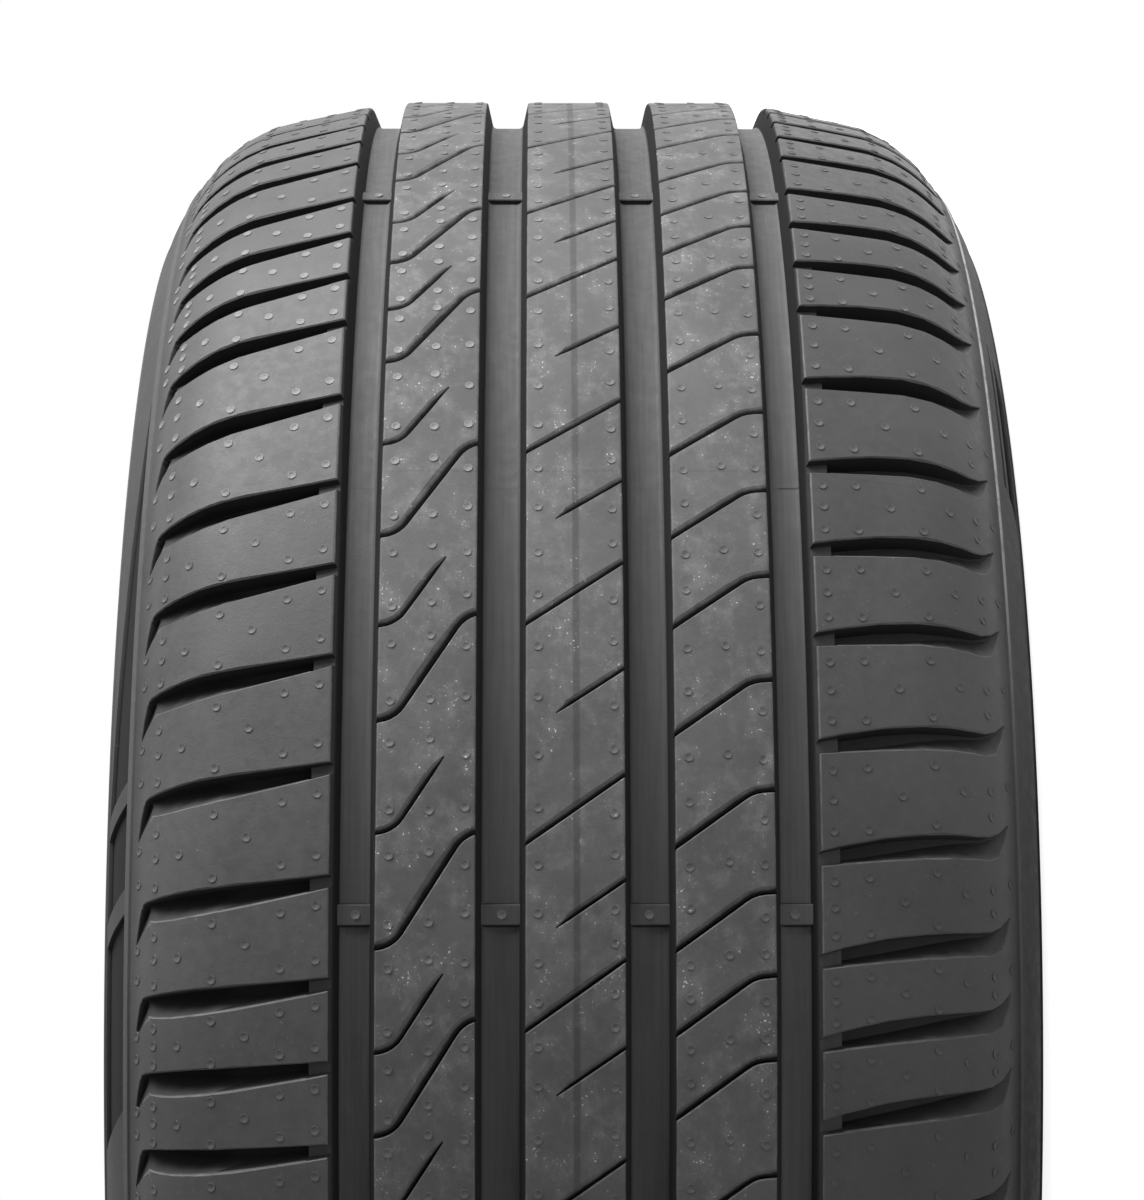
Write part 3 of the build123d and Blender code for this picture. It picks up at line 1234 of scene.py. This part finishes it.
@dataclass
class VentNubs:
    """The small trimmed nubs that the mould's vents leave on the tread.

    A layout gives nubs as places across and shares of the pitch. A sipe's line gives two places across and
    how far along the pitch it is there, and a sweep does so for a slot at the slot's places across.
    """

    skin: Skin
    pitches: PitchOrder
    cuts: TreadCuts
    bars: "WearBars"
    repeater: Repeater
    rubber: bpy.types.Material
    radius: float = 1.55
    height: float = 0.21
    sink: float = 0.4
    sides: int = 8
    edge_run: float = 0.1
    rim_share: float = 0.74
    hollow_share: float = 0.56
    hollow_height: float = 0.2
    sharp_angle: float = 50.0
    slot_gap: float = 6.0
    slot_across: Point3 = (72.4, 106.0, 125.0)
    upper_sweep: Point3 = (-0.6, -5.4, -7.2)
    lower_sweep: Point3 = (-1.7, 2.4, 6.0)
    upper_sipe: tuple[Point2, Point2] = ((53.0, 32.5), (0.6, 33.6))
    middle_sipe: tuple[Point2, Point2] = ((14.5, -14.6), (31.0, 51.5))
    lower_sipe: tuple[Point2, Point2] = ((-29.8, -52.0), (30.0, 46.2))
    upper_shoulder: tuple[Point2, ...] = (
        (76.0, 0.86), (76.0, 0.2), (86.5, 0.84), (86.5, 0.16), (97.0, 0.52), (107.0, 0.84), (107.0, 0.14),
        (117.5, 0.46), (125.0, 0.76), (125.0, 0.47), (125.0, 0.14), (130.6, 0.6), (130.6, 0.2),
    )
    lower_shoulder: tuple[Point2, ...] = (
        (76.0, 0.84), (76.0, 0.52), (76.0, 0.18), (86.5, 0.84), (86.5, 0.16), (97.0, 0.5), (107.0, 0.82),
        (107.0, 0.16), (116.0, 0.5), (125.0, 0.5), (125.0, 0.2), (131.0, 0.62),
    )
    upper_rib: tuple[Point2, ...] = (
        (54.8, 0.2), (54.8, 0.8), (43.0, 0.36), (43.0, 0.72), (32.4, 0.25), (32.4, 0.72),
    )
    middle_rib: tuple[Point2, ...] = ((11.0, 0.25), (11.0, 0.72), (-11.5, 0.3), (-11.5, 0.7))
    lower_rib: tuple[Point2, ...] = ((-33.5, 0.32), (-33.5, 0.72), (-45.0, 0.5), (-55.5, 0.3), (-55.5, 0.74))
    # Painted highlight on the nubs: where it is strongest by height and side, and its share on the wear bars
    highlight_heights: tuple[float, ...] = (150.0, 200.0, 260.0, 300.0)
    highlight_shares: tuple[float, ...] = (0.1, 0.6, 0.6, 0.1)
    highlight_across: Point2 = (-20.0, 40.0)
    highlight_sides: Point2 = (0.25, 1.0)
    bar_highlight: float = 0.3
    bar_top: float = 322.0
    bar_across: float = 75.0

    def nub(self) -> bpy.types.Object:
        """Builds one nub: a low ring with a hollow in its middle.

        Returns:
            The nub, standing up along Z.
        """
        section = [
            (self.radius, -self.sink),
            (self.radius - self.edge_run, self.height),
            (self.radius * self.rim_share, self.height),
            (self.radius * self.hollow_share, self.height * self.hollow_height),
        ]
        rings = []
        for radius, height in section:
            turns = [2 * pi * index / self.sides for index in range(self.sides)]
            rings.append([(radius * MM * cos(turn), radius * MM * sin(turn), height * MM) for turn in turns])
        return mesh_object("nub", *bridge_rings(rings, True))

    def bar_places(self) -> list[Point3]:
        """Finds the nubs in the middle of the wear bars.

        Returns:
            Their places, as (along, across, height).
        """
        size = self.skin.size
        top = size.tread_radius - size.groove_depth + self.bars.height
        return [
            (turn * size.tread_radius, side.value * across, top - self.skin.at_across(across)[1])
            for turn in self.bars.turns()
            for side in Side
            for across in (size.inner_groove, size.outer_groove)
        ]

    def places(self) -> list[Point2]:
        """Finds the nubs of the ribs and the shoulders.

        Returns:
            Their places, as (along, across).
        """
        shoulders = (
            (Side.UPPER, self.upper_shoulder, self.cuts.upper_slot_along, self.upper_sweep),
            (Side.LOWER, self.lower_shoulder, self.cuts.lower_slot_along, self.lower_sweep),
        )
        ribs = (
            (self.upper_rib, self.upper_sipe),
            (self.middle_rib, self.middle_sipe),
            (self.lower_rib, self.lower_sipe),
        )
        found = []
        radius = self.skin.size.tread_radius
        for start, share in zip(self.pitches.starts(), self.pitches.shares()):
            length = 2 * pi * radius * share
            along = start * radius
            block = length - self.slot_gap
            for side, layout, slot, sweep in shoulders:
                for across, part in layout:
                    edge = slot + float(np.interp(across, self.slot_across, sweep)) + self.slot_gap / 2
                    found.append((along + edge + part * block, side.value * across))
            for layout, (line_across, line_along) in ribs:
                for across, part in layout:
                    sipe = float(np.interp(-across, np.negative(line_across), line_along))
                    found.append((along + sipe + part * length, across))
        return found

    def shine(self, places: np.ndarray) -> np.ndarray:
        """How much painted highlight the nubs carry: most on the upper half, between two heights, and less
        on the wear bars.

        Args:
            places: The points, in metres.

        Returns:
            The share of the painted highlight colour at each point.
        """
        high = np.interp(places[:, 0] / MM, self.highlight_heights, self.highlight_shares)
        upper = np.interp(places[:, 2] / MM, self.highlight_across, self.highlight_sides)
        radius, across = self.skin.polar(places)
        on_bar = (radius < self.bar_top) & (across < self.bar_across)
        return np.where(on_bar, self.bar_highlight, high * upper)

    def build(self) -> bpy.types.Object:
        """Puts the nubs on the tread.

        Returns:
            The finished piece.
        """
        places = [(along, across, 0.0) for along, across in self.places()] + self.bar_places()
        points = [self.skin.space(*place) for place in places]
        ways = [self.skin.facing(along, across) for along, across, _ in places]
        nubs = self.repeater.on_skin("vent_nubs", self.nub(), points, ways, self.rubber)
        shade_smooth(nubs.data, self.sharp_angle)
        write_values(nubs.data, "shine", self.shine(read_places(nubs.data)))
        return nubs


@dataclass
class WearBars:
    """The low bars across the main grooves that show when the tread is worn down."""

    skin: Skin
    repeater: Repeater
    rubber: bpy.types.Material
    length: float = 6.4
    height: float = 1.6
    slope: float = 0.5
    sink: float = 0.6
    edge_run: float = 0.1
    edge_drop: float = 0.3
    top_run: float = 0.4
    wall_gap: float = 1.6
    rows: int = 7
    first_angle: float = -81.0

    def turns(self) -> list[float]:
        """The angle of each row, in radians."""
        return [radians(self.first_angle) + 2 * pi * index / self.rows for index in range(self.rows)]

    def bar(self) -> bpy.types.Object:
        """Builds the bars of one row.

        Returns:
            The row, at angle 0.
        """
        size = self.skin.size
        floor = size.tread_radius - size.groove_depth
        end = self.length / 2
        rising = [
            (-end - self.slope, -self.sink),
            (-end + self.edge_run, self.height - self.edge_drop),
            (-end + self.top_run, self.height),
        ]
        section = rising + [(-along, lift) for along, lift in reversed(rising)]
        grooves = [
            (side.value * across, width)
            for side in Side
            for across, width in (
                (size.inner_groove, size.inner_groove_width),
                (size.outer_groove, size.outer_groove_width),
            )
        ]
        points: list[Point3] = []
        faces: list[list[int]] = []
        for across, width in grooves:
            half = width / 2 - self.wall_gap
            rings = [
                [((floor + lift) * MM, along * MM, (across + reach) * MM) for along, lift in section]
                for reach in (-half, half)
            ]
            more_points, more_faces = bridge_rings(rings, True)
            faces += [[number + len(points) for number in face] for face in more_faces]
            points += more_points
        return mesh_object("bar_row", points, faces)

    def build(self) -> bpy.types.Object:
        """Puts the rows round the tread.

        Returns:
            The finished piece.
        """
        bars = self.repeater.round_axis("wear_bars", self.bar(), self.turns(), self.rubber)
        write_values(bars.data, "depth", np.full(len(bars.data.vertices), self.skin.size.groove_depth))
        return bars


def grey(level: float) -> Colour:
    """A plain grey."""
    return level, level, level, 1.0


@dataclass(frozen=True)
class Step:
    """A smooth step: where it starts and ends, and the results before and after it."""

    low: float
    high: float
    before: float = 0.0
    after: float = 1.0


@dataclass(frozen=True)
class Noise:
    """The look of a noise."""

    scale: float
    detail: float
    roughness: float = 0.55


class NodeBoard:
    """The node tree of a material or a world, with short calls to add and link nodes."""

    def __init__(self, owner: bpy.types.ID) -> None:
        """Empties the owner's tree.

        Args:
            owner: The material or the world.
        """
        owner.use_nodes = True
        self.owner = owner
        self.tree = owner.node_tree
        self.tree.nodes.clear()

    def add(
        self, kind: str, inputs: dict[str | int, NodeValue] | None = None, **settings: str
    ) -> bpy.types.Node:
        """Adds a node.

        Args:
            kind: The node's type.
            inputs: Values or sockets for its inputs, by name or number.
            settings: The node's own properties.

        Returns:
            The node.
        """
        node = self.tree.nodes.new(kind)
        for name, value in settings.items():
            setattr(node, name, value)
        for name, value in (inputs or {}).items():
            if isinstance(value, bpy.types.NodeSocket):
                self.tree.links.new(value, node.inputs[name])
            else:
                node.inputs[name].default_value = value
        return node

    def math(self, operation: str, *values: NodeValue) -> bpy.types.NodeSocket:
        """A math node's result."""
        return self.add("ShaderNodeMath", dict(enumerate(values)), operation=operation).outputs[0]

    def join(self, operation: str, *values: NodeValue) -> bpy.types.NodeSocket:
        """The result of one math node after another, such as all values multiplied."""
        return reduce(lambda result, value: self.math(operation, result, value), values)

    def vector(self, operation: str, *values: NodeValue, output: int = 0) -> bpy.types.NodeSocket:
        """A vector math node's result."""
        return self.add("ShaderNodeVectorMath", dict(enumerate(values)), operation=operation).outputs[output]

    def ramp(self, value: bpy.types.NodeSocket, step: Step) -> bpy.types.NodeSocket:
        """A value taken through a smooth step."""
        levels = {0: value, 1: step.low, 2: step.high, 3: step.before, 4: step.after}
        return self.add("ShaderNodeMapRange", levels, interpolation_type="SMOOTHSTEP").outputs[0]

    def noise(self, place: bpy.types.NodeSocket, look: Noise) -> bpy.types.NodeSocket:
        """A noise texture's value."""
        levels = {"Vector": place, "Scale": look.scale, "Detail": look.detail, "Roughness": look.roughness}
        return self.add("ShaderNodeTexNoise", levels).outputs[0]

    def mix(self, share: NodeValue, first: NodeValue, second: NodeValue) -> bpy.types.NodeSocket:
        """A mix of two colours."""
        return self.add("ShaderNodeMix", {0: share, 6: first, 7: second}, data_type="RGBA").outputs[2]

    def toned(self, colour: bpy.types.NodeSocket, tone: bpy.types.NodeSocket) -> bpy.types.NodeSocket:
        """Multiplies a colour by a tone.

        Args:
            colour: The colour.
            tone: The tone, one for no change.

        Returns:
            The toned colour.
        """
        shade = self.add("ShaderNodeCombineColor", {0: tone, 1: tone, 2: tone}).outputs[0]
        levels = {0: 1.0, 6: colour, 7: shade}
        return self.add("ShaderNodeMix", levels, data_type="RGBA", blend_type="MULTIPLY").outputs[2]

    def attribute(self, name: str) -> bpy.types.NodeSocket:
        """The value of a mesh attribute."""
        return self.add("ShaderNodeAttribute", attribute_name=name).outputs["Fac"]

    def seen(self) -> bpy.types.NodeSocket:
        """Tells what is seen from the light that is given.

        Returns:
            One for what the camera sees, also in gloss and through glass, and zero for the light.
        """
        path = self.add("ShaderNodeLightPath")
        rays = ("Is Camera Ray", "Is Glossy Ray", "Is Transmission Ray")
        return self.join("MAXIMUM", *(path.outputs[ray] for ray in rays))


@dataclass(frozen=True)
class MouldedRubber:
    """The tyre's rubber: grey and dusty on the ribs, darker on the shoulders, with painted shade in slots,
    sipes and on walls, and painted highlights on nubs, edges and the lower mould rib.

    Its steps are over places and depths in millimetres, over the values of noises, or over shares.
    """

    # Colours
    rib: Colour = grey(0.07)
    upper_shoulder: Colour = grey(0.06)
    lower_shoulder: Colour = grey(0.043)
    sidewall: Colour = grey(0.046)
    # Painted shade in slots, sipes and on walls, and also the black of the seams and the middle stripe
    shade_and_line_black: Colour = grey(0.0035)
    inner_floor: Colour = grey(0.062)
    upper_floor: Colour = grey(0.062)
    # Painted light: the lower outer groove floors are paler than the upper ones
    lower_floor_painted_light: Colour = grey(0.075)
    mould_rib: Colour = grey(0.066)
    # Painted highlight on the lower mould rib
    painted_rib_highlight: Colour = grey(0.36)
    liner: Colour = grey(0.032)
    # Pale worn edges, partly a painted highlight
    edge: Colour = grey(0.17)
    dust: Colour = grey(0.23)
    # Painted highlight on the nubs' tops
    nub: Colour = grey(0.22)
    speck: Colour = (0.62, 0.62, 0.61, 1.0)
    panel: Colour = grey(0.012)

    # Noises, with the stretch of the place for two of them
    cloud: Noise = Noise(22.0, 5.0)
    mottle: Noise = Noise(260.0, 6.0, 0.65)
    scuff: Noise = Noise(120.0, 8.0, 0.72)
    grain: Noise = Noise(1500.0, 3.0)
    fleck: Noise = Noise(1100.0, 2.0)
    smear: Noise = Noise(1.0, 6.0, 0.65)
    smear_stretch: Point3 = (85.0, 85.0, 120.0)
    streak: Noise = Noise(1.0, 3.0)
    streak_stretch: Point3 = (30.0, 30.0, 900.0)

    # Parts of the tyre, by place across and by depth
    crown_edge: Step = Step(70.5, 73.0, 1.0, 0.0)
    side_edge: Step = Step(128.0, 133.0)
    outer_grooves: Step = Step(40.0, 48.0)
    upper_half: Step = Step(-10.0, 10.0)
    lower_half: Step = Step(0.0, 1.0, 1.0, 0.0)
    rib_top: Step = Step(0.15, 0.6, 1.0, 0.0)
    groove_floor: Step = Step(7.3, 7.7)
    liner_depth: Step = Step(10.2, 11.0)
    outside: Step = Step(10.2, 11.0, 1.0, 0.0)

    # Tones and dust
    cloud_tone: Step = Step(0.3, 0.7, 0.86, 1.12)
    mottle_tone: Step = Step(0.3, 0.7, -0.1, 0.1)
    streak_tone: Step = Step(0.3, 0.7, 0.9, 1.1)
    smear_haze: Step = Step(0.45, 0.75, 0.0, 0.28)
    scuff_haze: Step = Step(0.5, 0.72, 0.0, 0.2)

    # Painted shade of slots, sipes and walls, deeper on the upper half, by the slot ends and high up on the
    # sipes
    edge_dark: Step = Step(0.12, 0.7, 0.0, 0.4)
    depth_dark: Step = Step(0.7, 5.5)
    half_dark: Step = Step(0.0, 1.0, 0.24, 0.45)
    slot_end: Step = Step(96.0, 112.0)
    slot_end_dark: Step = Step(0.1, 1.0, 0.0, 0.3)
    sipe_dark: Step = Step(0.08, 0.6)
    sipe_shade_height: Step = Step(160.0, 270.0, 1.0, 2.0)
    upright: Step = Step(0.3, 0.5, 0.9, 0.0)
    wall_depth: Step = Step(0.2, 0.7)
    flatten: Point3 = (1.0, 1.0, 0.0)

    # Rib at the mould's edge, with a painted highlight on its lower side high up
    rib_crest: Step = Step(0.5, 0.85)
    rib_highlight_height: Step = Step(80.0, 220.0)
    rib_highlight_scuff: Step = Step(0.35, 0.55, 0.35, 1.0)

    # Worn edges that are partly a painted highlight, and pale flecks
    wear_highlight_from: Step = Step(0.06, 0.18)
    wear_highlight_to: Step = Step(0.35, 0.8, 1.0, 0.0)
    wear_highlight_scuff: Step = Step(0.35, 0.65, 0.0, 0.3)
    fleck_size: Step = Step(0.65, 0.72)
    fleck_smear: Step = Step(0.48, 0.66)
    fleck_crown: Step = Step(0.0, 1.0, 0.1, 0.8)

    # Seams between the mould's parts, and the stripe round the middle rib
    seams: int = 8
    seam_angle: float = -56.3
    seam_radius: float = 328.0
    seam_width: Step = Step(0.2, 0.45, 1.0, 0.0)
    seam_strength: float = 0.12
    seam_groove: Step = Step(-64.0, -62.0, 0.7, 0.0)
    seam_depth: Step = Step(4.0, 8.0)
    stripe_across: float = -0.4
    stripe_width: Step = Step(0.6, 1.4, 0.4, 0.0)
    stripe_depth: Step = Step(0.2, 1.0, 1.0, 0.0)

    # Sheen and bump
    specular: float = 0.2
    crown_roughness: Step = Step(0.0, 1.0, 0.5, 0.6)
    side_roughness: Step = Step(0.0, 1.0, 0.0, 0.2)
    mottle_roughness: Step = Step(0.3, 0.7, -0.06, 0.1)
    dark_roughness: Step = Step(0.0, 1.0, 0.0, 0.95)
    grain_share: float = 0.5
    bump_strength: float = 0.22
    bump_distance: float = 0.6

    def material(self) -> bpy.types.Material:
        """Builds the material.

        Returns:
            The rubber, on Object coordinates and on the values that the pieces carry.
        """
        board = NodeBoard(bpy.data.materials.new("moulded rubber"))
        place = board.add("ShaderNodeTexCoord").outputs["Object"]
        parts = board.add("ShaderNodeSeparateXYZ", {0: board.vector("MULTIPLY", place, (1 / MM,) * 3)})
        height = parts.outputs["X"]
        across = board.math("ABSOLUTE", parts.outputs["Z"])
        depth = board.attribute("depth")
        panel = board.attribute("panel")
        crown = board.ramp(across, self.crown_edge)
        side = board.ramp(across, self.side_edge)
        upper = board.ramp(parts.outputs["Z"], self.upper_half)
        top = board.ramp(depth, self.rib_top)
        on_floor = board.ramp(depth, self.groove_floor)
        mottle = board.noise(place, self.mottle)
        scuff = board.noise(place, self.scuff)
        smear = board.noise(board.vector("MULTIPLY", place, self.smear_stretch), self.smear)
        streak = board.noise(board.vector("MULTIPLY", place, self.streak_stretch), self.streak)

        # Plain rubber with its tone and dust
        shoulder = board.mix(upper, self.lower_shoulder, self.upper_shoulder)
        colour = board.mix(side, board.mix(crown, shoulder, self.rib), self.sidewall)
        cloud_tone = board.ramp(board.noise(place, self.cloud), self.cloud_tone)
        colour = board.toned(colour, board.math("ADD", cloud_tone, board.ramp(mottle, self.mottle_tone)))
        haze = board.math("ADD", board.ramp(smear, self.smear_haze), board.ramp(scuff, self.scuff_haze))
        colour = board.mix(board.join("MULTIPLY", haze, crown, top), colour, self.dust)

        # Floors of the grooves, with painted light on the lower outer floors, and the painted shade of
        # slots, sipes and walls
        outer_floor = board.mix(upper, self.lower_floor_painted_light, self.upper_floor)
        floor = board.mix(board.ramp(across, self.outer_grooves), self.inner_floor, outer_floor)
        floor = board.toned(floor, board.ramp(streak, self.streak_tone))
        sunk = board.math("MULTIPLY", board.ramp(depth, self.depth_dark), board.ramp(upper, self.half_dark))
        slot_end = board.join(
            "MULTIPLY", board.ramp(across, self.slot_end), board.ramp(depth, self.slot_end_dark), upper
        )
        slot = board.join("ADD", board.ramp(depth, self.edge_dark), sunk, slot_end)
        sipe = board.join(
            "MULTIPLY", crown, board.ramp(depth, self.sipe_dark), board.ramp(height, self.sipe_shade_height)
        )
        above_floor = board.math("SUBTRACT", 1.0, on_floor)
        cut = board.math("MULTIPLY", board.math("MAXIMUM", slot, sipe), above_floor)
        painted_shade = board.math("MAXIMUM", cut, self.wall_share(board, place, depth))
        # Painted shade: slots, sipes and upright walls go towards near black
        colour = board.mix(painted_shade, board.mix(on_floor, colour, floor), self.shade_and_line_black)
        colour = board.mix(board.ramp(depth, self.liner_depth), colour, self.liner)
        colour = board.mix(panel, colour, self.panel)

        # Rib at the mould's edge with its painted highlight, fine lines, worn edges partly painted as
        # highlight, flecks and painted highlights on nubs
        rib_highlight = board.join(
            "MULTIPLY",
            board.ramp(height, self.rib_highlight_height),
            board.ramp(upper, self.lower_half),
            board.ramp(scuff, self.rib_highlight_scuff),
        )
        # Painted highlight on the lower mould rib, high up
        rib_colour = board.mix(rib_highlight, self.mould_rib, self.painted_rib_highlight)
        colour = board.mix(board.ramp(board.attribute("rib"), self.rib_crest), colour, rib_colour)
        colour = board.mix(self.line_share(board, parts, depth), colour, self.shade_and_line_black)
        edge_wear_and_highlight = board.join(
            "MULTIPLY",
            board.ramp(depth, self.wear_highlight_from),
            board.ramp(depth, self.wear_highlight_to),
            board.ramp(scuff, self.wear_highlight_scuff),
        )
        # Worn edges, partly a painted highlight
        colour = board.mix(edge_wear_and_highlight, colour, self.edge)
        flecks = board.join(
            "MULTIPLY",
            board.ramp(board.noise(place, self.fleck), self.fleck_size),
            board.ramp(smear, self.fleck_smear),
            top,
            board.ramp(crown, self.fleck_crown),
        )
        colour = board.mix(flecks, colour, self.speck)
        # Painted highlight on the nubs
        colour = board.mix(board.attribute("shine"), colour, self.nub)

        # Sheen and bump
        roughness = board.join(
            "ADD",
            board.ramp(crown, self.crown_roughness),
            board.ramp(side, self.side_roughness),
            board.ramp(mottle, self.mottle_roughness),
        )
        dull = board.ramp(board.math("MAXIMUM", panel, painted_shade), self.dark_roughness)
        grain = board.math("MULTIPLY", board.noise(place, self.grain), self.grain_share)
        bump = board.add(
            "ShaderNodeBump",
            {
                "Strength": self.bump_strength,
                "Distance": self.bump_distance * MM,
                "Height": board.math("ADD", grain, mottle),
            },
        )
        shader = board.add(
            "ShaderNodeBsdfPrincipled",
            {
                "Base Color": colour,
                "Roughness": board.math("MAXIMUM", roughness, dull),
                "Specular IOR Level": self.specular,
                "Normal": bump.outputs[0],
            },
        )
        board.add("ShaderNodeOutputMaterial", {"Surface": shader.outputs[0]})
        return board.owner

    def wall_share(
        self, board: NodeBoard, place: bpy.types.NodeSocket, depth: bpy.types.NodeSocket
    ) -> bpy.types.NodeSocket:
        """How much painted shade the tread's walls get for how upright they stand: little light gets down
        between them.

        Args:
            board: The material's nodes.
            place: The place on the tyre.
            depth: The depth under the skin.

        Returns:
            Most on an upright wall, zero on the skin and on floors.
        """
        outward = board.vector("NORMALIZE", board.vector("MULTIPLY", place, self.flatten))
        normal = board.add(
            "ShaderNodeVectorTransform",
            {0: board.add("ShaderNodeNewGeometry").outputs["True Normal"]},
            vector_type="NORMAL",
            convert_from="WORLD",
            convert_to="OBJECT",
        ).outputs[0]
        facing = board.math("ABSOLUTE", board.vector("DOT_PRODUCT", normal, outward, output=1))
        return board.math("MULTIPLY", board.ramp(facing, self.upright), board.ramp(depth, self.wall_depth))

    def line_share(
        self, board: NodeBoard, parts: bpy.types.Node, depth: bpy.types.NodeSocket
    ) -> bpy.types.NodeSocket:
        """The fine dark lines of the tread: the mould's seams and a stripe round the middle rib.

        Args:
            board: The material's nodes.
            parts: The node that splits the place into its coordinates.
            depth: The depth under the skin.

        Returns:
            How dark the line is at each place.
        """
        half_gap = pi / self.seams
        angle = board.math("ARCTAN2", parts.outputs["Y"], parts.outputs["X"])
        turned = board.math("SUBTRACT", angle, radians(self.seam_angle) + half_gap)
        offset = board.math("WRAP", turned, half_gap, -half_gap)
        gap = board.math("SUBTRACT", half_gap, board.math("ABSOLUTE", offset))
        line = board.ramp(board.math("MULTIPLY", gap, self.seam_radius), self.seam_width)
        in_groove = board.math(
            "MULTIPLY", board.ramp(parts.outputs["Z"], self.seam_groove), board.ramp(depth, self.seam_depth)
        )
        strength = board.math("ADD", in_groove, self.seam_strength)
        seam = board.join("MULTIPLY", line, board.ramp(depth, self.outside), strength)
        middle = board.math("ABSOLUTE", board.math("SUBTRACT", parts.outputs["Z"], self.stripe_across))
        stripe = board.math(
            "MULTIPLY", board.ramp(middle, self.stripe_width), board.ramp(depth, self.stripe_depth)
        )
        return board.math("MAXIMUM", seam, stripe)


@dataclass(frozen=True)
class Lamp:
    """A soft square lamp: its place, its target and its side in metres, and its power in watts."""

    name: str
    place: Point3
    target: Point3
    side: float
    power: float

    def hang(self) -> None:
        """Adds the lamp to the scene."""
        data = bpy.data.lights.new(self.name, "AREA")
        data.size = self.side
        data.energy = self.power
        thing = bpy.data.objects.new(self.name, data)
        thing.location = self.place
        thing.rotation_euler = (Vector(self.target) - Vector(self.place)).to_track_quat("-Z", "Y").to_euler()
        bpy.context.scene.collection.objects.link(thing)


@dataclass
class Studio:
    """The pale floor, the white backdrop, the soft light and the camera, with places in metres.

    The key lamp hangs at the photograph's top, and a weaker one above the floor.
    """

    floor_half: float = 4.0
    floor_white: float = 0.65
    floor_glow: float = 0.9
    fill: float = 0.13
    lens: float = 111.18
    sensor: float = 36.0
    eye: Point3 = (0.1427, -1.4063, 0.01095)
    aim_right: float = 0.00915
    lamps: tuple[Lamp, ...] = (
        Lamp("key", place=(2.0, -0.4, 0.95), target=(0.1, -0.1, 0.0), side=1.6, power=118.0),
        Lamp("overhead", place=(0.3, -1.0, 1.6), target=(0.0, 0.0, 0.0), side=1.6, power=5.0),
    )

    def floor(self) -> None:
        """A plain floor under the tyre, which looks white and keeps its shadow."""
        half, low = self.floor_half, cad_low.z
        points = [(-half, -half, low), (half, -half, low), (half, half, low), (-half, half, low)]
        plane = mesh_object("floor", points, [[0, 1, 2, 3]])
        board = NodeBoard(bpy.data.materials.new("pale floor"))
        paint = board.add("ShaderNodeBsdfDiffuse", {"Color": grey(self.floor_white)})
        strength = board.math("MULTIPLY", board.seen(), self.floor_glow)
        glow = board.add("ShaderNodeEmission", {"Strength": strength})
        both = board.add("ShaderNodeAddShader", {0: paint.outputs[0], 1: glow.outputs[0]})
        board.add("ShaderNodeOutputMaterial", {"Surface": both.outputs[0]})
        plane.data.materials.append(board.owner)

    def backdrop(self) -> None:
        """A world that is white to the eye and gives an even, weaker light."""
        board = NodeBoard(bpy.data.worlds.new("backdrop"))
        level = board.add("ShaderNodeMapRange", {"Value": board.seen(), "To Min": self.fill})
        light = board.add("ShaderNodeBackground", {"Color": grey(1.0), "Strength": level.outputs[0]})
        board.add("ShaderNodeOutputWorld", {"Surface": light.outputs[0]})
        bpy.context.scene.world = board.owner

    def camera(self) -> None:
        """The camera at the photograph's place, turned so that the photograph's up is +X."""
        data = bpy.data.cameras.new("camera")
        data.lens = self.lens
        data.sensor_width = self.sensor
        right, up, back = Vector((0, 0, -1)), Vector((1, 0, 0)), Vector((0, -1, 0))
        back = (back - right * self.aim_right).normalized()
        right = up.cross(back)
        turn = Matrix((right, up, back)).transposed()
        thing = bpy.data.objects.new("camera", data)
        thing.matrix_world = Matrix.Translation(self.eye) @ turn.to_4x4()
        bpy.context.scene.collection.objects.link(thing)
        bpy.context.scene.camera = thing

    def build(self) -> None:
        """Sets up the whole studio."""
        self.floor()
        self.backdrop()
        for lamp in self.lamps:
            lamp.hang()
        self.camera()
        bpy.context.scene.view_settings.view_transform = "Standard"


def main() -> None:
    """Builds the tyre piece by piece."""
    logging.basicConfig(level=logging.INFO, format="%(name)s %(message)s")
    Studio().build()
    skin = Skin(TyreSize())
    pitches = PitchOrder()
    repeater = Repeater()
    rubber = MouldedRubber().material()
    cuts = TreadCuts(skin, pitches, repeater, rubber)
    panels = SidewallPanels(skin, repeater, rubber)
    body = TyreBody(skin, cuts, panels, rubber)
    finish_piece(body.build(), True)
    bars = WearBars(skin, repeater, rubber)
    finish_piece(bars.build(), False)
    finish_piece(VentNubs(skin, pitches, cuts, bars, repeater, rubber).build(), False)


if __name__ == "__main__":
    main()
